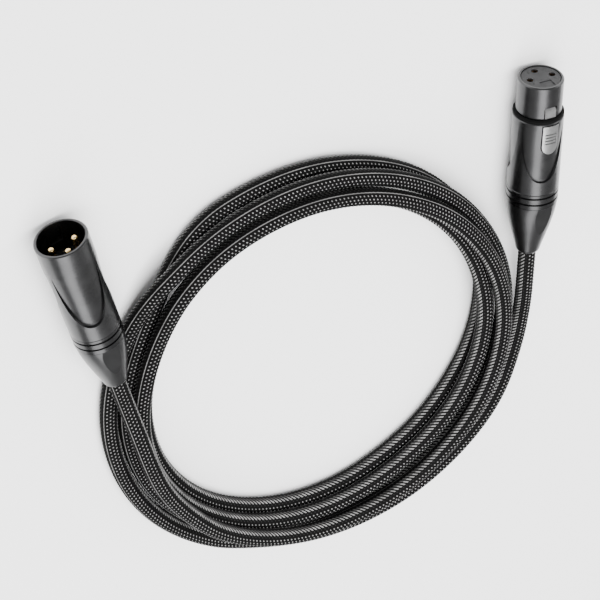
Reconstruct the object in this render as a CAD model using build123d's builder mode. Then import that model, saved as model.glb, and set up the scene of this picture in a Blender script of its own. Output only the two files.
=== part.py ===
"""A three-pole XLR microphone cable, coiled and lying on a flat surface.

Millimetres, +Z up. The origin is on the surface, under the middle of the whole cable's box.
Both plugs lie level: the male plug points along -Y, and the female plug is turned a little from it.
Each plug is drawn in its own frame: +Z out of its mating face, +Y towards the row's +Z (up).
"""

import os
from math import cos, pi, radians, sin, tan

from build123d import *

# ---------------------------------------------------------------- driving dimensions

CABLE_D = 6.6                     # outside of the braided jacket
CABLE_R = CABLE_D / 2

COIL_X, COIL_Y = 19.1, 12.0       # middle of the coil
COIL_OUTER = (86.5, 81.5)         # half axes of the coil's outer edge
COIL_INNER = (62.0, 66.5)         # half axes of the coil's open middle
COIL_TOP = 15.5                   # two layers of cable and the turn that lies on them
COIL_TURN = 15.0                  # turn of the half axes about +Z, in degrees
COIL_ROUND = 4.0                  # rounding of the coil's edges
COIL_SHIFT = (-2.0, -1.5)         # middle of the outer edge, from the middle of the coil

MALE_FRONT = (COIL_X + 70.9, COIL_Y - 114.4, 11.6)
FEMALE_FRONT = (COIL_X - 110.8, COIL_Y - 72.1, 9.6)
FEMALE_TURN = -16.9               # female plug's heading, in degrees from -Y towards +X

PIN_CIRCLE_R = 4.5                # the three contacts stand on this circle
PIN_R = 1.2
PIN_TAIL_R = 1.0
SOCKET_BORE_R = 1.22

MALE_SHELL_L = 41.0
MALE_L = 69.0
MALE_FRONT_R = 9.6
MALE_REAR_R = 9.1
MALE_BORE_R = 8.5
MALE_CAVITY = 12.0                # depth from the rim to the insert's face
MALE_PIN_TIP = 2.0                # the pins' tips stand this far inside the rim

NOSE_R = 8.3
NOSE_L = 13.9
NOSE_WALL = 1.0
NOSE_SEAT_R = 8.0                 # the nose behind its shoulder, inside the rear shell
FEMALE_SHELL_END = 44.6
FEMALE_L = 74.0
FEMALE_FRONT_R = 9.3
FEMALE_REAR_R = 9.5

SHELL_BORE_R = 7.6                # inside of both shells behind the inserts
COLLAR_L = 6.6
COLLAR_BORE_R = 6.3
BOOT_END_R = 4.4
CHUCK_R = 6.1
PANEL_DEPTH = 0.95                # how far a panel's rear end is sunk in its shell
PANEL_TURN = -12.0                # the first panel's turn round the plug from straight up, in degrees

LATCH_W = 6.2
LATCH_FRONT = 15.3
LATCH_END = 27.0
LATCH_TRAVEL = 1.2
TONGUE_W = 4.4


def plug_frame(front, turn):
    """A plug's frame: origin at its front, +Z out of its mating face and +Y up."""
    heading = radians(turn)
    axis = (sin(heading), -cos(heading), 0)
    side = (cos(heading), sin(heading), 0)
    return Plane(origin=front, x_dir=side, z_dir=axis)


MALE = plug_frame(MALE_FRONT, 0)
FEMALE = plug_frame(FEMALE_FRONT, FEMALE_TURN)


def section(frame):
    """The plane through a plug's axis: its x is the radius and its y runs out of the front."""
    return Plane(origin=frame.origin, x_dir=frame.x_dir, z_dir=-frame.y_dir)


def axis_of(frame):
    return Axis(frame.origin, frame.z_dir)


def turned(frame, outline):
    """A body turned about the plug's axis from a closed outline of (radius, setback) points."""
    with BuildPart() as body:
        with BuildSketch(section(frame)):
            with BuildLine():
                Polyline([(radius, -setback) for radius, setback in outline], close=True)
            make_face()
        revolve(axis=axis_of(frame))
    return body.part


def finish(piece, name):
    """Label a finished piece and write it to its own file."""
    piece.label = name
    export_step(piece, f"parts/{name}.step")


def contact_spots(up):
    """Places of contacts 1, 2 and 3 across the plug, with contact 3 on the side given by up."""
    return [(PIN_CIRCLE_R, 0), (-PIN_CIRCLE_R, 0), (0, PIN_CIRCLE_R * up)]


# ---------------------------------------------------------------- shells and their panels


def panel_cutter(frame, start, end, front_r, rear_r):
    """One sunk panel, facing the plug's +Y: a long U whose floor sinks towards its rear end."""
    outside = max(front_r, rear_r) + 1.0
    half_width = 0.98 * front_r
    lead = 4.0
    with BuildPart() as cutter:
        above = Plane(
            origin=frame.origin + frame.y_dir * outside,
            x_dir=frame.x_dir,
            z_dir=-frame.y_dir,
        )
        with BuildSketch(above):
            with BuildLine():
                foot = (0, -(end + 1.4))
                left = (-half_width, -(start - lead))
                right = (half_width, -(start - lead))
                bend = 0.78 * (end - start)
                Bezier(left, (-half_width, -(start + bend)), (-0.6 * half_width, foot[1]), foot)
                Bezier(foot, (0.6 * half_width, foot[1]), (half_width, -(start + bend)), right)
                Line(right, left)
            make_face()
        extrude(amount=outside - 3.0, taper=15)
        with BuildSketch(section(frame)):
            with BuildLine():
                Polyline(
                    (0, -(start - 2 * lead)),
                    (front_r + 0.02, -(start - 2 * lead)),
                    (front_r + 0.02, -start),
                    (rear_r - PANEL_DEPTH, -end),
                    (rear_r - PANEL_DEPTH, -(end + 2 * lead)),
                    (0, -(end + 2 * lead)),
                    close=True,
                )
            make_face()
        revolve(axis=axis_of(frame), mode=Mode.SUBTRACT)
    return cutter.part


def shell_with_panels(frame, outline, start, end, front_r, rear_r):
    """A turned shell with three sunk panels spaced evenly round it, the first nearly facing up."""
    cutter = panel_cutter(frame, start, end, front_r, rear_r)
    with BuildPart() as shell:
        add(turned(frame, outline))
        for turn in (0, 120, 240):
            add(cutter.rotate(axis_of(frame), PANEL_TURN + turn), mode=Mode.SUBTRACT)
    return shell.part


def male_shell():
    rim = 0.35
    outline = [
        (MALE_BORE_R + rim / 2, 0),
        (MALE_FRONT_R - rim, 0),
        (MALE_FRONT_R, rim),
        (MALE_FRONT_R, 6.0),
        (MALE_REAR_R, MALE_SHELL_L),
        (SHELL_BORE_R, MALE_SHELL_L),
        (SHELL_BORE_R, MALE_CAVITY + 1.2),
        (MALE_BORE_R, MALE_CAVITY + 1.2),
        (MALE_BORE_R, rim / 2),
    ]
    key_w, key_start, key_end, key_depth = 5.0, 1.2, 8.5, 0.45
    with BuildPart() as shell:
        add(shell_with_panels(MALE, outline, 9.0, 33.8, MALE_FRONT_R, MALE_REAR_R))
        with BuildSketch(MALE.offset(-key_end)):
            with Locations((0, -(MALE_BORE_R + key_depth) / 2)):
                Rectangle(key_w, MALE_BORE_R + key_depth)
            Circle(MALE_BORE_R, mode=Mode.SUBTRACT)
        extrude(amount=key_end - key_start, mode=Mode.SUBTRACT)
    finish(shell.part, "male_shell")


def female_shell():
    """The rear shell: its front is cut open on top for the latch."""
    outline = [
        (NOSE_SEAT_R + 0.02, NOSE_L + 0.7),
        (FEMALE_FRONT_R - 0.25, NOSE_L + 0.7),
        (FEMALE_FRONT_R, NOSE_L + 1.0),
        (FEMALE_REAR_R, FEMALE_SHELL_END),
        (SHELL_BORE_R, FEMALE_SHELL_END),
        (SHELL_BORE_R, 26.0),
        (NOSE_SEAT_R + 0.02, 26.0),
    ]
    gap = 0.25
    with BuildPart() as shell:
        add(shell_with_panels(FEMALE, outline, 17.0, 38.2, FEMALE_FRONT_R, FEMALE_REAR_R))
        with BuildSketch(Plane(origin=FEMALE.origin, x_dir=FEMALE.x_dir, z_dir=-FEMALE.y_dir)):
            add(latch_outline(gap))
        extrude(amount=-12.0, mode=Mode.SUBTRACT)
    finish(shell.part, "female_shell")


def latch_outline(grow=0.0):
    """The push tab seen from above: square in front and round behind, grown all round by a gap."""
    half = LATCH_W / 2 + grow
    front = -(LATCH_FRONT - grow)
    back = -(LATCH_END + grow)
    with BuildSketch(mode=Mode.PRIVATE) as tab:
        with BuildLine():
            Polyline((-half, back + half), (-half, front), (half, front), (half, back + half))
            ThreePointArc((half, back + half), (0, back), (-half, back + half))
        make_face()
    return tab.sketch


# ---------------------------------------------------------------- contacts and inserts


def male_contacts():
    """Three solid pins with rounded tips and slimmer tails that are held in the insert."""
    tip, rear = MALE_PIN_TIP, 27.0
    for number, (x, y) in enumerate(contact_spots(up=1), start=1):
        with BuildPart() as pin:
            with BuildSketch(MALE.offset(-MALE_CAVITY)):
                with Locations((x, y)):
                    Circle(PIN_R)
            extrude(amount=MALE_CAVITY - tip)
            fillet(pin.faces().sort_by(axis_of(MALE))[-1].edges(), PIN_R * 0.8)
            with BuildSketch(MALE.offset(-rear)):
                with Locations((x, y)):
                    Circle(PIN_TAIL_R)
            extrude(amount=rear - MALE_CAVITY)
        finish(pin.part, f"male_pin_{number}")


def male_insert():
    """The moulded carrier: a flange that shows at the cavity's floor and a plain rear barrel."""
    outline = [
        (0, MALE_CAVITY),
        (MALE_BORE_R - 0.02, MALE_CAVITY),
        (MALE_BORE_R - 0.02, MALE_CAVITY + 1.2),
        (SHELL_BORE_R - 0.02, MALE_CAVITY + 1.2),
        (SHELL_BORE_R - 0.02, 22.0),
        (0, 22.0),
    ]
    with BuildPart() as insert:
        add(turned(MALE, outline))
        with BuildSketch(MALE.offset(-MALE_CAVITY)):
            with Locations(*contact_spots(up=1)):
                Circle(PIN_TAIL_R)
        extrude(amount=-12.0, mode=Mode.SUBTRACT)
    finish(insert.part, "male_insert")


def female_contacts():
    """Three turned sockets, bored from the front and solid behind."""
    mouth, rear, bore_depth = 0.8, 29.0, 11.0
    outer = 1.9
    for number, (x, y) in enumerate(contact_spots(up=-1), start=1):
        with BuildPart() as socket:
            with BuildSketch(FEMALE.offset(-rear)):
                with Locations((x, y)):
                    Circle(outer)
            extrude(amount=rear - mouth)
            with BuildSketch(FEMALE.offset(-mouth)):
                with Locations((x, y)):
                    Circle(SOCKET_BORE_R)
            extrude(amount=-bore_depth, mode=Mode.SUBTRACT)
        finish(socket.part, f"female_socket_{number}")


def female_insert():
    """The moulded carrier that fills the nose, with three holes and a flat key mark on its face."""
    insert_r = NOSE_R - NOSE_WALL - 0.02
    back = 24.0
    socket_seat_r = 1.9
    outline = [(0, 0.25), (insert_r - 0.3, 0.25), (insert_r, 0.55), (insert_r, back), (0, back)]
    with BuildPart() as insert:
        add(turned(FEMALE, outline))
        with BuildSketch(FEMALE):
            with Locations(*contact_spots(up=-1)):
                Circle(SOCKET_BORE_R)
        extrude(amount=-0.8, mode=Mode.SUBTRACT)
        with BuildSketch(FEMALE.offset(-0.8)):
            with Locations(*contact_spots(up=-1)):
                Circle(socket_seat_r)
        extrude(amount=-back, mode=Mode.SUBTRACT)
        with BuildSketch(FEMALE.offset(-0.5)):
            with Locations((0, 4.5)):
                Rectangle(4.6, 3.6)
        extrude(amount=0.5, mode=Mode.SUBTRACT)
        with BuildSketch(FEMALE.offset(-8.0)):
            with Locations((0, 7.0)):
                Rectangle(TONGUE_W + 0.8, 4.4)
        extrude(amount=-back, mode=Mode.SUBTRACT)
        with BuildSketch(FEMALE.offset(-(LATCH_FRONT - 0.3))):
            with Locations((0, 7.0)):
                Rectangle(LATCH_W + 0.8, 4.4)
        extrude(amount=-back, mode=Mode.SUBTRACT)
    finish(insert.part, "female_insert")


def female_nose():
    """The metal sleeve that enters the other plug, slotted on top for the latch's hook."""
    nose_back = 25.5
    edge = 0.4
    outline = [
        (NOSE_R - NOSE_WALL, 0),
        (NOSE_R - edge, 0),
        (NOSE_R, edge),
        (NOSE_R, NOSE_L - 1.4),
        (NOSE_SEAT_R, NOSE_L - 1.4),
        (NOSE_SEAT_R, nose_back),
        (NOSE_R - NOSE_WALL, nose_back),
    ]
    slot_front, slot_w = 8.2, TONGUE_W + 0.6
    with BuildPart() as nose:
        add(turned(FEMALE, outline))
        with BuildSketch(FEMALE.offset(-slot_front)):
            with Locations((0, NOSE_R)):
                Rectangle(slot_w, 5.0)
        extrude(amount=-(LATCH_FRONT - 0.25 - slot_front), mode=Mode.SUBTRACT)
        with BuildSketch(Plane(origin=FEMALE.origin, x_dir=FEMALE.x_dir, z_dir=-FEMALE.y_dir)):
            add(latch_outline(0.25))
        extrude(amount=-12.0, mode=Mode.SUBTRACT)
    finish(nose.part, "female_nose")


def seal_ring():
    """The rubber ring that lies on the shoulder between the nose and the shell."""
    outline = [
        (NOSE_SEAT_R + 0.01, NOSE_L - 0.9),
        (NOSE_R + 0.35, NOSE_L - 0.9),
        (FEMALE_FRONT_R - 0.1, NOSE_L - 0.4),
        (FEMALE_FRONT_R - 0.1, NOSE_L + 0.5),
        (FEMALE_FRONT_R - 0.35, NOSE_L + 0.7),
        (NOSE_SEAT_R + 0.01, NOSE_L + 0.7),
    ]
    finish(turned(FEMALE, outline), "female_seal_ring")


# ---------------------------------------------------------------- the latch


def female_latch():
    """The push tab with its tongue and hook: one casting that is pressed straight in."""
    tab_top = FEMALE_FRONT_R + 0.35
    tab_bottom = 6.9
    tongue_top, tongue_bottom = 7.65, 6.4
    tongue_front, hook_l = 8.6, 4.0
    groove, groove_step, grooves = 0.6, 1.25, 4
    with BuildPart() as latch:
        with BuildSketch(Plane(origin=FEMALE.origin, x_dir=FEMALE.x_dir, z_dir=-FEMALE.y_dir)):
            add(latch_outline())
        extrude(amount=-12.0)
        with BuildSketch(section(FEMALE)):
            with BuildLine():
                Polyline(
                    (tab_top + 6.0, 0),
                    (tab_top + 6.0, -40.0),
                    (tab_top, -40.0),
                    (tab_top, 0),
                    close=True,
                )
            make_face()
        revolve(axis=axis_of(FEMALE), mode=Mode.SUBTRACT)
        with BuildSketch(Plane(origin=FEMALE.origin, x_dir=FEMALE.x_dir, z_dir=FEMALE.z_dir).offset(-40.0)):
            with Locations((0, tab_bottom - 10.0)):
                Rectangle(30.0, 20.0)
        extrude(amount=40.0, mode=Mode.SUBTRACT)
        for index in range(grooves):
            setback = LATCH_FRONT + 3.2 + index * groove_step
            with BuildSketch(FEMALE.offset(-setback - groove)):
                with Locations((0, tab_top + 1.0)):
                    Rectangle(LATCH_W * 0.72, 2.0 + 2 * 0.3 + 0.6)
            extrude(amount=groove, mode=Mode.SUBTRACT)
        with BuildSketch(FEMALE.offset(-(LATCH_FRONT + 2.0))):
            with Locations((0, (tongue_top + tongue_bottom) / 2)):
                Rectangle(TONGUE_W, tongue_top - tongue_bottom)
        extrude(amount=LATCH_FRONT + 2.0 - tongue_front)
        with BuildSketch(FEMALE.offset(-(tongue_front + hook_l))):
            with Locations((0, (tongue_bottom + NOSE_R - 0.15) / 2)):
                Rectangle(TONGUE_W, NOSE_R - 0.15 - tongue_bottom)
        extrude(amount=hook_l)
        hook_front = latch.faces().sort_by(axis_of(FEMALE))[-1]
        chamfer(hook_front.edges().sort_by(Axis.Z)[-1], 1.1)
    finish(latch.part, "female_latch")


def latch_spring():
    """A small coil spring, drawn as its thin-walled envelope, that stands under the push tab."""
    spring_r, wall, foot, head = 1.5, 0.35, 4.8, 6.9
    setback = 24.0 - 2.5
    place = FEMALE.origin - FEMALE.z_dir * setback
    with BuildPart() as spring:
        with BuildSketch(Plane(origin=place + FEMALE.y_dir * foot, x_dir=FEMALE.x_dir, z_dir=FEMALE.y_dir)):
            Circle(spring_r)
            Circle(spring_r - wall, mode=Mode.SUBTRACT)
        extrude(amount=head - foot)
    finish(spring.part, "female_latch_spring")


# ---------------------------------------------------------------- collars, chucks and boots


def collar(frame, start, radius, name):
    """A screwed ring with two grooves round it."""
    edge, groove_w, groove_depth = 0.3, 0.75, 0.7
    outline = [
        (COLLAR_BORE_R, start),
        (radius - edge, start),
        (radius, start + edge),
        (radius, start + COLLAR_L - edge),
        (radius - edge, start + COLLAR_L),
        (COLLAR_BORE_R, start + COLLAR_L),
    ]
    grooves = (start + 1.7, start + 4.3)
    with BuildPart() as ring:
        add(turned(frame, outline))
        for setback in grooves:
            with BuildSketch(section(frame)):
                with Locations((radius, -setback)):
                    Rectangle(2 * groove_depth, groove_w)
            revolve(axis=axis_of(frame), mode=Mode.SUBTRACT)
    finish(ring.part, name)


def boot(frame, start, end, radius, name):
    """The tapered strain relief, with three flats that die out before its tip."""
    hollow_end = start + 6.0
    flats_tilt = -9.0
    with BuildPart() as relief:
        with BuildSketch(section(frame)):
            with BuildLine():
                Line((COLLAR_BORE_R, -start), (radius - 0.2, -start))
                Bezier(
                    (radius - 0.2, -start),
                    (radius - 0.3, -(start + 6.0)),
                    (BOOT_END_R + 1.6, -(end - 7.0)),
                    (BOOT_END_R + 0.25, -(end - 1.6)),
                )
                Bezier((BOOT_END_R + 0.25, -(end - 1.6)), (BOOT_END_R - 0.1, -end), (CABLE_R + 0.5, -end))
                Polyline(
                    (CABLE_R + 0.5, -end),
                    (CABLE_R, -end),
                    (CABLE_R, -hollow_end),
                    (COLLAR_BORE_R, -hollow_end),
                    (COLLAR_BORE_R, -start),
                )
            make_face()
        revolve(axis=axis_of(frame))
        for turn in (PANEL_TURN, PANEL_TURN + 120, PANEL_TURN + 240):
            around = frame.rotated((0, 0, turn))
            flat = Plane(
                origin=frame.origin - frame.z_dir * (start + 1.6) + around.y_dir * (radius - 0.85),
                x_dir=around.x_dir,
                z_dir=around.y_dir,
            ).rotated((flats_tilt, 0, 0))
            with BuildSketch(flat):
                with Locations((0, 10.0)):
                    Rectangle(30.0, 20.0)
            extrude(amount=6.0, mode=Mode.SUBTRACT)
    finish(relief.part, name)


def chuck(frame, start, end, name):
    """The split collet that grips the jacket inside the collar."""
    outline = [
        (CABLE_R, start),
        (CHUCK_R - 0.8, start),
        (CHUCK_R, start + 1.5),
        (CHUCK_R, end - 3.0),
        (CABLE_R + 1.2, end),
        (CABLE_R, end),
    ]
    slits = 4
    with BuildPart() as collet:
        add(turned(frame, outline))
        with BuildSketch(frame.offset(-end)):
            with PolarLocations((CHUCK_R + CABLE_R) / 2 + 0.5, slits):
                Rectangle(CHUCK_R, 0.8)
        extrude(amount=(end - start) * 0.6, mode=Mode.SUBTRACT)
    finish(collet.part, name)


def jacket_end(frame, start, end, name):
    """The cable inside the boot, from its cut end to the boot's tip."""
    with BuildPart() as jacket:
        with BuildSketch(frame.offset(-end)):
            Circle(CABLE_R)
        extrude(amount=end - start)
    finish(jacket.part, name)


def conductors(frame, up, contact_end, jacket_start, prefix):
    """Three insulated wires from the jacket's cut end to the rear ends of the contacts."""
    wire_r, bundle_r = 0.7, 1.5
    share = bundle_r / PIN_CIRCLE_R
    for number, (x, y) in enumerate(contact_spots(up), start=1):
        with BuildPart() as wire:
            with BuildSketch(frame.offset(-jacket_start)):
                with Locations((x * share, y * share)):
                    Circle(wire_r)
            with BuildSketch(frame.offset(-contact_end)):
                with Locations((x, y)):
                    Circle(wire_r)
            loft()
        finish(wire.part, f"{prefix}_wire_{number}")


# ---------------------------------------------------------------- the cable

# Routes of the two free stretches, from each boot's tip, measured from the coil's middle.
MALE_ROUTE = [
    (70.9, -45.4, 11.6),
    (70.9, -34.0, 11.6),
    (71.3, -18.6, 14.6),
    (71.6, -6.0, 15.8),
    (70.8, 7.5, 15.6),
    (67.6, 21.0, 15.2),
]
FEMALE_ROUTE = [
    (-89.24, -1.3, 9.6),
    (-85.75, 10.2, 9.6),
    (-83.2, 25.0, 6.6),
    (-77.0, 45.0, 3.5),
    (-64.0, 65.5, 3.4),
    (-45.5, 78.5, 3.4),
    (-24.0, 86.0, 3.4),
    (-3.0, 87.0, 3.4),
    (16.5, 83.0, 3.4),
    (33.5, 75.0, 3.4),
]


def tail(route, name):
    """A free stretch of cable: straight runs joined by tangent arcs as large as the runs allow."""
    points = [Vector(COIL_X + x, COIL_Y + y, z) for x, y, z in route]
    radii = []
    for before, corner, after in zip(points, points[1:], points[2:]):
        half_turn = radians((corner - before).get_angle(after - corner)) / 2
        shorter = min((corner - before).length, (after - corner).length)
        radii.append(0.45 * shorter / tan(half_turn))
    with BuildPart() as tube:
        with BuildLine() as path:
            FilletPolyline(*points, radius=radii)
        with BuildSketch(Plane(origin=points[0], z_dir=points[1] - points[0])):
            Circle(CABLE_R)
        sweep(path=path.wire())
    length = path.wire().length
    ratio = tube.part.volume / (pi * CABLE_R**2 * length)
    print(name, "length", round(length, 1), "volume ratio", round(ratio, 4))
    print(name, "radii", [round(r) for r in radii])
    finish(tube.part, name)
    return tube.part


def coil(tails):
    """The outer shape of the wound turns, with room for the boot and the tails that lie on them."""
    middle = Plane(origin=(COIL_X, COIL_Y, 0))
    with BuildPart() as ring:
        with BuildSketch(middle):
            with Locations(Location(COIL_SHIFT + (0,), (0, 0, COIL_TURN + 90))):
                Ellipse(*COIL_OUTER)
            with Locations(Location((0, 0, 0), (0, 0, COIL_TURN + 90))):
                Ellipse(*COIL_INNER, mode=Mode.SUBTRACT)
        extrude(amount=COIL_TOP)
        fillet(ring.faces().sort_by(Axis.Z)[-1].edges(), COIL_ROUND)
        with BuildSketch(section(MALE)):
            with BuildLine():
                Polyline(
                    (0, -30.0),
                    (MALE_REAR_R + 0.8, -30.0),
                    (MALE_REAR_R + 0.8, -(MALE_SHELL_L + COLLAR_L + 2.0)),
                    (BOOT_END_R + 1.6, -(MALE_L + 1.0)),
                    (0, -(MALE_L + 1.0)),
                    close=True,
                )
            make_face()
        revolve(axis=axis_of(MALE), mode=Mode.SUBTRACT)
        for tube in tails:
            add(tube, mode=Mode.SUBTRACT)
    finish(ring.part, "cable_coil")


# ---------------------------------------------------------------- the whole cable


def main():
    os.makedirs("parts", exist_ok=True)
    male_shell()
    male_insert()
    male_contacts()
    collar(MALE, MALE_SHELL_L, MALE_REAR_R, "male_collar")
    boot(MALE, MALE_SHELL_L + COLLAR_L, MALE_L, MALE_REAR_R, "male_boot")
    chuck(MALE, 34.0, 52.5, "male_chuck")
    jacket_end(MALE, 32.0, MALE_L, "male_jacket_end")
    conductors(MALE, 1, 27.0, 32.0, "male")
    female_shell()
    female_nose()
    female_insert()
    female_contacts()
    seal_ring()
    female_latch()
    latch_spring()
    collar(FEMALE, FEMALE_SHELL_END, FEMALE_REAR_R, "female_collar")
    boot(FEMALE, FEMALE_SHELL_END + COLLAR_L, FEMALE_L, FEMALE_REAR_R, "female_boot")
    chuck(FEMALE, 37.0, 56.0, "female_chuck")
    jacket_end(FEMALE, 35.0, FEMALE_L, "female_jacket_end")
    conductors(FEMALE, -1, 29.0, 35.0, "female")
    tails = [tail(MALE_ROUTE, "male_tail"), tail(FEMALE_ROUTE, "female_tail")]
    coil(tails)


main()
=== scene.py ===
"""Look of a coiled, braided three-pole microphone cable with its two plugs."""
from math import cos, pi, radians, sin

import bmesh
import bpy
import numpy as np
from mathutils import Matrix, Vector


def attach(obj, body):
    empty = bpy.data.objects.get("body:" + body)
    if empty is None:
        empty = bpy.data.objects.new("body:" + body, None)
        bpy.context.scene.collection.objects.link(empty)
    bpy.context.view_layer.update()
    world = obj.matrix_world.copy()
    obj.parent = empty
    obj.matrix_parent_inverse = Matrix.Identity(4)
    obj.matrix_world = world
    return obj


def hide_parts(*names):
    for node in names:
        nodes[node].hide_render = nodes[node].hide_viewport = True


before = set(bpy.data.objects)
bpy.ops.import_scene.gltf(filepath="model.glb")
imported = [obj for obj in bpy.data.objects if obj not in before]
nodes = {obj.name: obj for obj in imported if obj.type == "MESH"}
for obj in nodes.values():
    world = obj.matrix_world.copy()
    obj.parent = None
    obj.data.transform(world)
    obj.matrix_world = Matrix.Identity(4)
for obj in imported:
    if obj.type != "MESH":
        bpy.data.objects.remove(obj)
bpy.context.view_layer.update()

MM = 0.001

# How fine each pattern is, in noise cells per metre.
METAL_GRAIN = 9000
HANDLING = 160
SPARK_GRAIN = 5200
MOTTLING = 350
BRUSH_LINES = 2600

MOTTLE_SPREAD = 0.18                        # how much moulded plastic varies in brightness
BRUSH_STRETCH = 14.0                        # how much finer the brushed lines are one way

# ---------------------------------------------------------------- node helpers


class Shader:
    """A small wrapper that adds nodes to one material and joins them."""

    def __init__(self, name):
        self.mat = bpy.data.materials.new(name)
        self.mat.use_nodes = True
        self.tree = self.mat.node_tree
        self.bsdf = self.tree.nodes["Principled BSDF"]

    def put(self, socket, value):
        if isinstance(value, bpy.types.NodeSocket):
            self.tree.links.new(value, socket)
        else:
            socket.default_value = value

    def math(self, operation, a, b=0.0, c=0.0):
        made = self.tree.nodes.new("ShaderNodeMath")
        made.operation = operation
        for socket, value in zip(made.inputs, (a, b, c)):
            self.put(socket, value)
        return made.outputs[0]

    def smooth(self, value, low, high, to_low=0.0, to_high=1.0):
        made = self.tree.nodes.new("ShaderNodeMapRange")
        made.interpolation_type = "SMOOTHSTEP"
        for socket, entry in zip(made.inputs, (value, low, high, to_low, to_high)):
            self.put(socket, entry)
        return made.outputs[0]

    def mix(self, factor, a, b):
        made = self.tree.nodes.new("ShaderNodeMix")
        made.data_type = "RGBA"
        self.put(made.inputs[0], factor)
        self.put(made.inputs[6], a)
        self.put(made.inputs[7], b)
        return made.outputs[2]

    def noise(self, scale, detail=3.0, stretch=(1, 1, 1)):
        where = self.tree.nodes.new("ShaderNodeTexCoord").outputs["Object"]
        place = self.tree.nodes.new("ShaderNodeMapping")
        place.inputs["Scale"].default_value = stretch
        self.tree.links.new(where, place.inputs["Vector"])
        made = self.tree.nodes.new("ShaderNodeTexNoise")
        made.inputs["Scale"].default_value = scale
        made.inputs["Detail"].default_value = detail
        self.tree.links.new(place.outputs[0], made.inputs["Vector"])
        return made.outputs["Fac"]

    def bump(self, height, distance, strength=0.5):
        made = self.tree.nodes.new("ShaderNodeBump")
        made.inputs["Strength"].default_value = strength
        made.inputs["Distance"].default_value = distance
        self.tree.links.new(height, made.inputs["Height"])
        self.tree.links.new(made.outputs[0], self.bsdf.inputs["Normal"])

    def set(self, **inputs):
        for key, value in inputs.items():
            self.put(self.bsdf.inputs[key.replace("_", " ")], value)
        return self.mat


def grey(level, warm=0.0):
    return (level * (1 + warm), level, level * (1 - warm), 1.0)


def metal(name, base, rough, coat=0.0, tint=(1.0, 1.0, 1.02)):
    """Plated or lacquered metal: fine grain in its colour and gloss, and faint handling marks."""
    s = Shader(name)
    fine = s.noise(METAL_GRAIN, 2.0)
    cloud = s.noise(HANDLING, 2.0)
    low = tuple(base * t * 0.93 for t in tint) + (1.0,)
    high = tuple(base * t * 1.07 for t in tint) + (1.0,)
    colour = s.mix(s.smooth(cloud, 0.3, 0.7), low, high)
    worn = s.smooth(cloud, 0.25, 0.75, rough - 0.012, rough + 0.02)
    grained = s.smooth(fine, 0.3, 0.7, -0.02, 0.03)
    s.bump(fine, 0.00002, 0.25)
    return s.set(
        Base_Color=colour,
        Metallic=1.0,
        Roughness=s.math("ADD", worn, grained),
        Coat_Weight=coat,
        Coat_Roughness=0.12,
    )


def moulded(name, colour, rough, shine=0.2):
    """Moulded plastic or rubber: a fine spark-eroded texture and slight mottling."""
    s = Shader(name)
    fine = s.noise(SPARK_GRAIN, 3.0)
    cloud = s.noise(MOTTLING, 3.0)
    low = tuple(c * (1 - MOTTLE_SPREAD) for c in colour) + (1.0,)
    high = tuple(c * (1 + MOTTLE_SPREAD) for c in colour) + (1.0,)
    s.bump(fine, 0.00004, 0.5)
    return s.set(
        Base_Color=s.mix(s.smooth(cloud, 0.3, 0.7), low, high),
        Roughness=s.smooth(fine, 0.2, 0.8, rough - 0.06, rough + 0.08),
        Specular_IOR_Level=shine,
    )


def brushed(name, base, rough):
    """Satin metal with fine lines across it."""
    s = Shader(name)
    lines = s.noise(BRUSH_LINES, 2.0, (1.0, BRUSH_STRETCH, 1.0))
    cloud = s.noise(300, 3.0)
    s.bump(lines, 0.00002, 0.35)
    colour = s.mix(s.smooth(cloud, 0.3, 0.7), grey(base * 0.88), grey(base * 1.08))
    gloss = s.smooth(lines, 0.25, 0.75, rough - 0.08, rough + 0.1)
    return s.set(Base_Color=colour, Metallic=1.0, Roughness=gloss)


def paint(material, *names):
    for name in names:
        obj = nodes[name]
        obj.data.materials.clear()
        obj.data.materials.append(material)


# ---------------------------------------------------------------- plugs

shell_metal = metal("gunmetal_gloss", 0.055, 0.29, coat=0.08)
collar_metal = metal("gunmetal_collar", 0.045, 0.25, coat=0.08)
nose_metal = metal("gunmetal_nose", 0.055, 0.30, coat=0.05)
boot_metal = metal("boot_gunmetal", 0.050, 0.32, coat=0.05)
paint(shell_metal, "male_shell", "female_shell")
paint(collar_metal, "male_collar", "female_collar")
paint(nose_metal, "female_nose")
paint(boot_metal, "male_boot", "female_boot")
paint(moulded("black_insert", (0.012, 0.012, 0.012), 0.45), "male_insert")
paint(moulded("grey_insert", (0.024, 0.024, 0.025), 0.55), "female_insert")
paint(metal("pin_gold", 0.80, 0.2, tint=(1.0, 0.72, 0.34)), "male_pin_1", "male_pin_2", "male_pin_3")
socket_gold = metal("socket_gold", 0.40, 0.35, tint=(1.0, 0.66, 0.36))
paint(socket_gold, "female_socket_1", "female_socket_2", "female_socket_3")
paint(moulded("seal_rubber", (0.002, 0.002, 0.002), 0.7, shine=0.05), "female_seal_ring")
paint(brushed("latch_satin", 0.30, 0.34), "female_latch")
paint(brushed("spring_steel", 0.5, 0.3), "female_latch_spring")
paint(moulded("collet_black", (0.02, 0.02, 0.02), 0.5), "male_chuck", "female_chuck")
paint(moulded("jacket_black", (0.012, 0.012, 0.012), 0.6), "male_jacket_end", "female_jacket_end")
paint(moulded("wire_grey", (0.25, 0.25, 0.25), 0.5), "male_wire_1", "female_wire_1")
paint(moulded("wire_red", (0.45, 0.03, 0.03), 0.5), "male_wire_2", "female_wire_2")
paint(moulded("wire_white", (0.7, 0.7, 0.68), 0.5), "male_wire_3", "female_wire_3")

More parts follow.
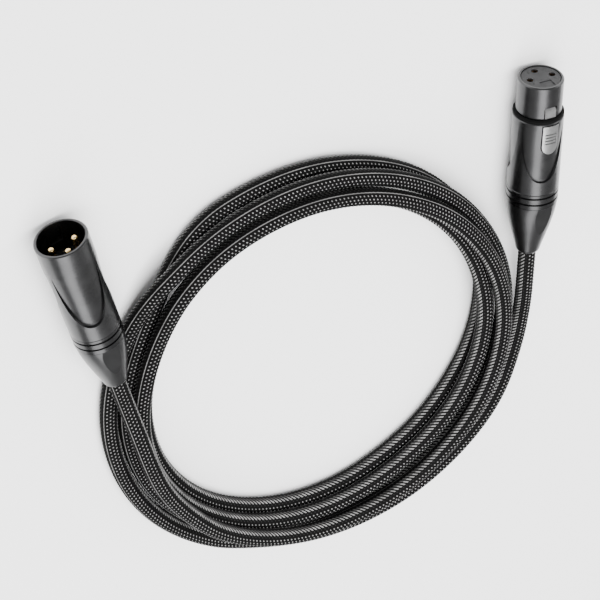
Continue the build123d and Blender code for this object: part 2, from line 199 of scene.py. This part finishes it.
# Contact numbers moulded on the female plug's face.
FEMALE_AT = Vector((-91.7, -60.1, 9.6)) * MM
FEMALE_TURN = radians(-16.9)
female_axis = Vector((sin(FEMALE_TURN), -cos(FEMALE_TURN), 0))
female_side = Vector((cos(FEMALE_TURN), sin(FEMALE_TURN), 0))
female_up = Vector((0, 0, 1))
NUMERAL_HEIGHT = 1.7
NUMERAL_DEPTH = 0.06
NUMERAL_SUNK = 0.27                         # how far behind the nose's rim the face lies
number_paint = moulded("number_grey", (0.005, 0.005, 0.005), 0.5)
for text, x, y in (("1", 4.5, 2.3), ("2", -4.5, 2.3), ("3", 2.7, -4.5)):
    font = bpy.data.curves.new(f"contact_number_{text}", "FONT")
    font.body = text
    font.size = NUMERAL_HEIGHT * MM
    font.extrude = NUMERAL_DEPTH * MM
    font.align_x = "CENTER"
    font.align_y = "CENTER"
    numeral = bpy.data.objects.new(f"contact_number_{text}", font)
    bpy.context.collection.objects.link(numeral)
    turn = Matrix((female_side, female_up, female_axis)).transposed().to_4x4()
    at = FEMALE_AT + female_side * x * MM + female_up * y * MM - female_axis * NUMERAL_SUNK * MM
    numeral.matrix_world = Matrix.Translation(at) @ turn
    font.materials.append(number_paint)
    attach(numeral, "cable")

# ---------------------------------------------------------------- the cable's route

COIL_AT = Vector((19.1, 12.0, 0))
CABLE_R = 3.3

# Free stretches from each boot's tip, in metres, measured from the coil's middle.
MALE_ROUTE = [
    (0.0709, -0.0454, 0.0116),
    (0.0709, -0.0340, 0.0117),
    (0.0713, -0.0186, 0.0146),
    (0.0716, -0.0060, 0.0158),
    (0.0708, 0.0075, 0.0156),
    (0.0676, 0.0210, 0.0152),
]
FEMALE_ROUTE = [
    (0.0335, 0.0750, 0.0034),
    (0.0165, 0.0830, 0.0034),
    (-0.0030, 0.0870, 0.0034),
    (-0.0240, 0.0860, 0.0034),
    (-0.0455, 0.0785, 0.0034),
    (-0.0640, 0.0655, 0.0034),
    (-0.0770, 0.0450, 0.0035),
    (-0.0832, 0.0250, 0.0066),
    (-0.08575, 0.0102, 0.0096),
    (-0.08924, -0.0013, 0.0096),
]

# The wound turns, as the cable's middle: how far round (degrees), how far out and how high (mm).
LAY = [
    (32, 71.0, 15.2), (60, 72.0, 14.7), (85, 74.0, 13.3), (105, 75.0, 12.8), (135, 74.9, 13.8),
    (165, 74.6, 13.9), (195, 73.3, 14.8), (225, 73.4, 13.7), (255, 75.0, 12.7), (285, 76.0, 12.2),
    (300, 75.2, 12.0), (315, 71.5, 9.5), (330, 70.3, 9.1), (360, 70.0, 9.0), (390, 69.4, 9.0),
    (420, 68.4, 9.0), (465, 67.0, 9.1), (495, 68.2, 9.7), (525, 69.0, 9.9), (555, 69.6, 8.3),
    (585, 70.2, 6.4), (615, 70.5, 5.8), (645, 70.5, 5.9), (660, 69.8, 5.3), (675, 67.3, 3.5),
    (690, 66.8, 3.3), (720, 66.6, 3.3), (750, 66.2, 3.3), (780, 65.4, 3.3), (825, 64.4, 3.3),
    (855, 66.5, 3.3), (885, 70.5, 3.3), (915, 75.0, 3.3), (945, 79.5, 3.3), (975, 83.5, 3.3),
    (1005, 85.5, 3.3), (1017, 80.5, 3.3), (1026, 76.6, 3.3), (1035, 74.2, 3.3), (1050, 73.5, 3.3),
    (1080, 73.4, 3.3), (1110, 73.9, 3.3), (1140, 75.2, 3.3), (1160, 77.0, 3.5), (1185, 79.5, 4.0),
    (1215, 79.0, 5.5), (1245, 78.0, 8.0), (1275, 77.5, 9.4), (1305, 79.0, 9.9), (1335, 80.9, 9.4),
    (1365, 81.5, 8.8), (1377, 82.5, 9.7), (1386, 82.0, 7.2), (1395, 80.8, 4.1), (1405, 80.4, 3.3),
    (1425, 80.4, 3.3), (1440, 80.1, 3.3), (1470, 80.6, 3.3), (1490, 81.2, 3.4),
]
STEP = 7.5                                  # degrees between the wound turns' points


def wound_turns():
    around, out, high = (np.array(column, dtype=float) for column in zip(*LAY))
    count = int((around[-1] - around[0]) / STEP) + 1
    for turn in np.linspace(around[0], around[-1], count):
        r = np.interp(turn, around, out) * MM
        z = np.interp(turn, around, high) * MM
        yield (r * cos(radians(turn)), r * sin(radians(turn)), z)


def centreline(points, name):
    """Points along the smooth NURBS line through the route, close together."""
    curve = bpy.data.curves.new(name, "CURVE")
    curve.dimensions = "3D"
    spline = curve.splines.new("NURBS")
    spline.points.add(len(points) - 1)
    for place, point in zip(spline.points, points):
        place.co = (point[0], point[1], point[2], 1.0)
    spline.order_u = 3
    spline.use_endpoint_u = True
    spline.resolution_u = 16
    carrier = bpy.data.objects.new(name, curve)
    mesh = bpy.data.meshes.new_from_object(carrier)
    line = np.empty(len(mesh.vertices) * 3)
    mesh.vertices.foreach_get("co", line)
    bpy.data.objects.remove(carrier)
    bpy.data.curves.remove(curve)
    bpy.data.meshes.remove(mesh)
    return line.reshape(-1, 3)


route = list(MALE_ROUTE) + list(wound_turns()) + list(FEMALE_ROUTE)
offset = np.array(COIL_AT) * MM
line = centreline(route, "cable_line") + offset
SAME_POINT = 1e-7
steps = np.linalg.norm(np.diff(line, axis=0), axis=1)
line = line[np.concatenate([[True], steps > SAME_POINT])]
steps = np.linalg.norm(np.diff(line, axis=0), axis=1)
along = np.concatenate([[0], np.cumsum(steps)])
LENGTH = float(along[-1])

# ---------------------------------------------------------------- the braided jacket

PITCH = 1.55 * MM                           # one stitch along the cable
COLUMNS = 16                                # stitches round the cable
RING_STEP = PITCH / 4
AROUND = COLUMNS * 2
RELIEF = 0.20                               # how far a stitch stands up from the jacket, mm
EDGE_RELIEF = 0.35                          # the part of that height at a stitch's edge
SMOOTHING = 9                               # rings over which the tube's direction is averaged


def braided_tube(name):
    """A tube along the line, with a raised stitch in every other cell of the braid."""
    count = int(LENGTH / RING_STEP)
    at = np.linspace(0, LENGTH, count + 1)
    centre = np.stack([np.interp(at, along, line[:, k]) for k in range(3)], axis=1)
    tangent = np.gradient(centre, axis=0)
    kernel = np.ones(SMOOTHING) / SMOOTHING
    half = SMOOTHING // 2
    padded = np.pad(tangent, ((half, half), (0, 0)), mode="edge")
    tangent = np.stack([np.convolve(padded[:, k], kernel, "valid") for k in range(3)], axis=1)
    tangent /= np.linalg.norm(tangent, axis=1)[:, None]
    out = np.cross(tangent, np.array([0.0, 0.0, 1.0]))
    out /= np.linalg.norm(out, axis=1)[:, None]
    up = np.cross(out, tangent)
    turn = np.arange(AROUND) * 2 * pi / AROUND
    column = np.arange(AROUND) / 2
    stitch = at / PITCH
    parity = np.floor(column) % 2
    phase = (stitch[:, None] + 0.5 * parity[None, :]) % 1.0
    crown = 0.5 - 0.5 * np.cos(2 * pi * phase)
    middle = np.where(np.arange(AROUND) % 2 == 1, 1.0, EDGE_RELIEF)
    radius = (CABLE_R - RELIEF + RELIEF * crown * middle[None, :]) * MM
    sideways = np.cos(turn)[None, :, None] * out[:, None, :]
    upwards = np.sin(turn)[None, :, None] * up[:, None, :]
    ring = centre[:, None, :] + radius[:, :, None] * (sideways + upwards)
    verts = ring.reshape(-1, 3)
    rows = len(at)
    i = np.arange(rows - 1)[:, None] * AROUND
    j = np.arange(AROUND)[None, :]
    k = (j + 1) % AROUND
    quads = np.stack([i + j, i + k, i + AROUND + k, i + AROUND + j], axis=2).reshape(-1, 4)
    u0 = np.broadcast_to(stitch[:-1, None], (rows - 1, AROUND))
    u1 = np.broadcast_to(stitch[1:, None], (rows - 1, AROUND))
    v0 = np.broadcast_to(column[None, :], (rows - 1, AROUND))
    v1 = v0 + 0.5
    uv = np.stack([u0, v0, u0, v1, u1, v1, u1, v0], axis=2).reshape(-1)
    mesh = bpy.data.meshes.new(name)
    mesh.vertices.add(len(verts))
    mesh.vertices.foreach_set("co", verts.reshape(-1))
    mesh.loops.add(quads.size)
    mesh.loops.foreach_set("vertex_index", quads.reshape(-1).astype(np.int32))
    mesh.polygons.add(len(quads))
    mesh.polygons.foreach_set("loop_start", (np.arange(len(quads)) * 4).astype(np.int32))
    layer = mesh.uv_layers.new(name="braid")
    mesh.update(calc_edges=True)
    layer.data.foreach_set("uv", uv.astype(np.float32))
    mesh.polygons.foreach_set("use_smooth", np.ones(len(quads), dtype=bool))
    mesh.update()
    made = bpy.data.objects.new(name, mesh)
    bpy.context.collection.objects.link(made)
    return made


def braid_material():
    """Black braid with staggered grey stitches, a bright slanted yarn and a thin straight tracer."""
    s = Shader("black_braid")
    uv = s.tree.nodes.new("ShaderNodeUVMap")
    uv.uv_map = "braid"
    apart = s.tree.nodes.new("ShaderNodeSeparateXYZ")
    s.tree.links.new(uv.outputs[0], apart.inputs[0])
    u, v = apart.outputs[0], apart.outputs[1]
    column = s.math("FLOOR", v)
    across = s.math("FRACT", v)
    parity = s.math("MODULO", column, 2.0)
    place = s.math("MODULO", column, COLUMNS / 2)
    stitch = s.math("FRACT", s.math("ADD", u, s.math("MULTIPLY", parity, 0.5)))
    side = s.math("SUBTRACT", across, 0.5)
    lean = s.math("ADD", s.math("SUBTRACT", stitch, 0.5), s.math("MULTIPLY", side, 0.30))
    lengthways = s.math("POWER", s.math("DIVIDE", lean, 0.17), 2.0)
    crossways = s.math("POWER", s.math("DIVIDE", side, 0.25), 2.0)
    dot = s.smooth(s.math("ADD", lengthways, crossways), 0.45, 1.15, 1.0, 0.0)

    def is_column(number):
        return s.math("COMPARE", place, float(number), 0.25)

    dotted = s.math("ADD", s.math("ADD", is_column(2), is_column(3)), is_column(4))
    slanted_at = s.math("ADD", is_column(6), s.math("MULTIPLY", is_column(7), 0.30))
    line_at = is_column(1)
    slant = s.math("FRACT", s.math("ADD", u, s.math("MULTIPLY", v, 0.8)))
    from_middle = s.math("ABSOLUTE", s.math("SUBTRACT", slant, 0.5))
    slanted = s.math("MULTIPLY", s.smooth(from_middle, 0.13, 0.30, 1.0, 0.0), slanted_at)
    tracer = s.smooth(s.math("ABSOLUTE", side), 0.08, 0.18, 1.0, 0.0)
    straight = s.math("MULTIPLY", tracer, line_at)
    fibres = s.noise(9000, 2.0)
    wander = s.smooth(s.noise(160, 2.0), 0.3, 0.7, 0.65, 1.0)
    strength = s.math("MULTIPLY", wander, s.smooth(fibres, 0.25, 0.75, 0.75, 1.0))
    bright = s.math("MULTIPLY", s.math("MULTIPLY", dot, dotted), 0.85)
    bright = s.math("ADD", bright, slanted)
    bright = s.math("ADD", bright, s.math("MULTIPLY", straight, 0.70))
    bright = s.math("ADD", bright, s.math("MULTIPLY", dot, 0.07))
    bright = s.math("MULTIPLY", bright, strength)
    black = s.mix(s.smooth(fibres, 0.3, 0.7), grey(0.0015), grey(0.004))
    colour = s.mix(bright, black, grey(0.27, 0.01))
    s.bump(s.math("ADD", dot, s.math("MULTIPLY", fibres, 0.25)), 0.00012, 0.6)
    gloss = s.smooth(bright, 0.0, 1.0, 0.7, 0.5)
    return s.set(Base_Color=colour, Roughness=gloss, Specular_IOR_Level=0.04)


cable = braided_tube("braided_cable")
cable.data.materials.append(braid_material())
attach(cable, "cable")
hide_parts("male_tail", "female_tail", "cable_coil")

# ---------------------------------------------------------------- floor, light and camera

bm = bmesh.new()
bmesh.ops.create_grid(bm, x_segments=1, y_segments=1, size=6.0)
floor_mesh = bpy.data.meshes.new("floor")
bm.to_mesh(floor_mesh)
bm.free()
floor = bpy.data.objects.new("floor", floor_mesh)
bpy.context.collection.objects.link(floor)
floor_shader = Shader("plain_floor")
floor_mesh.materials.append(floor_shader.set(Base_Color=(0.93, 0.93, 0.93, 1.0), Roughness=0.9))

world = bpy.data.worlds.new("studio")
bpy.context.scene.world = world
world.use_nodes = True
background = world.node_tree.nodes["Background"]
background.inputs["Color"].default_value = (1.0, 1.0, 1.0, 1.0)
background.inputs["Strength"].default_value = 0.70


def softbox(name, at, size, power):
    """A rectangular area light that faces the origin."""
    light = bpy.data.lights.new(name, "AREA")
    light.shape = "RECTANGLE"
    light.size, light.size_y = size
    light.energy = power
    made = bpy.data.objects.new(name, light)
    bpy.context.collection.objects.link(made)
    made.location = at
    made.rotation_euler = (-Vector(at)).to_track_quat("-Z", "Y").to_euler()


softbox("overhead", (0.1, -0.1, 1.3), (1.2, 1.2), 52)
softbox("left_strip", (1.0, -0.5, 0.55), (0.25, 1.2), 5)
softbox("back_strip", (0.62, 0.85, 0.95), (0.62, 1.1), 15)
softbox("back_edge", (-1.0, 0.55, 0.6), (0.12, 0.9), 4)
softbox("right_strip", (-1.0, -0.25, 0.6), (0.3, 1.2), 5)

CAMERA_AT = Vector((0.25781, -0.86126, 0.88659))
camera_data = bpy.data.cameras.new("photo_camera")
camera_data.lens = 210
camera_data.sensor_width = 36
camera_data.clip_end = 20
camera = bpy.data.objects.new("photo_camera", camera_data)
bpy.context.collection.objects.link(camera)
right = Vector((-0.85804, 0.23278, 0.4578))
above = Vector((-0.47551, -0.69689, -0.53687))
back = right.cross(above).normalized()
camera_turn = Matrix((right, above, back)).transposed().to_4x4()
camera.matrix_world = Matrix.Translation(CAMERA_AT) @ camera_turn
bpy.context.scene.camera = camera
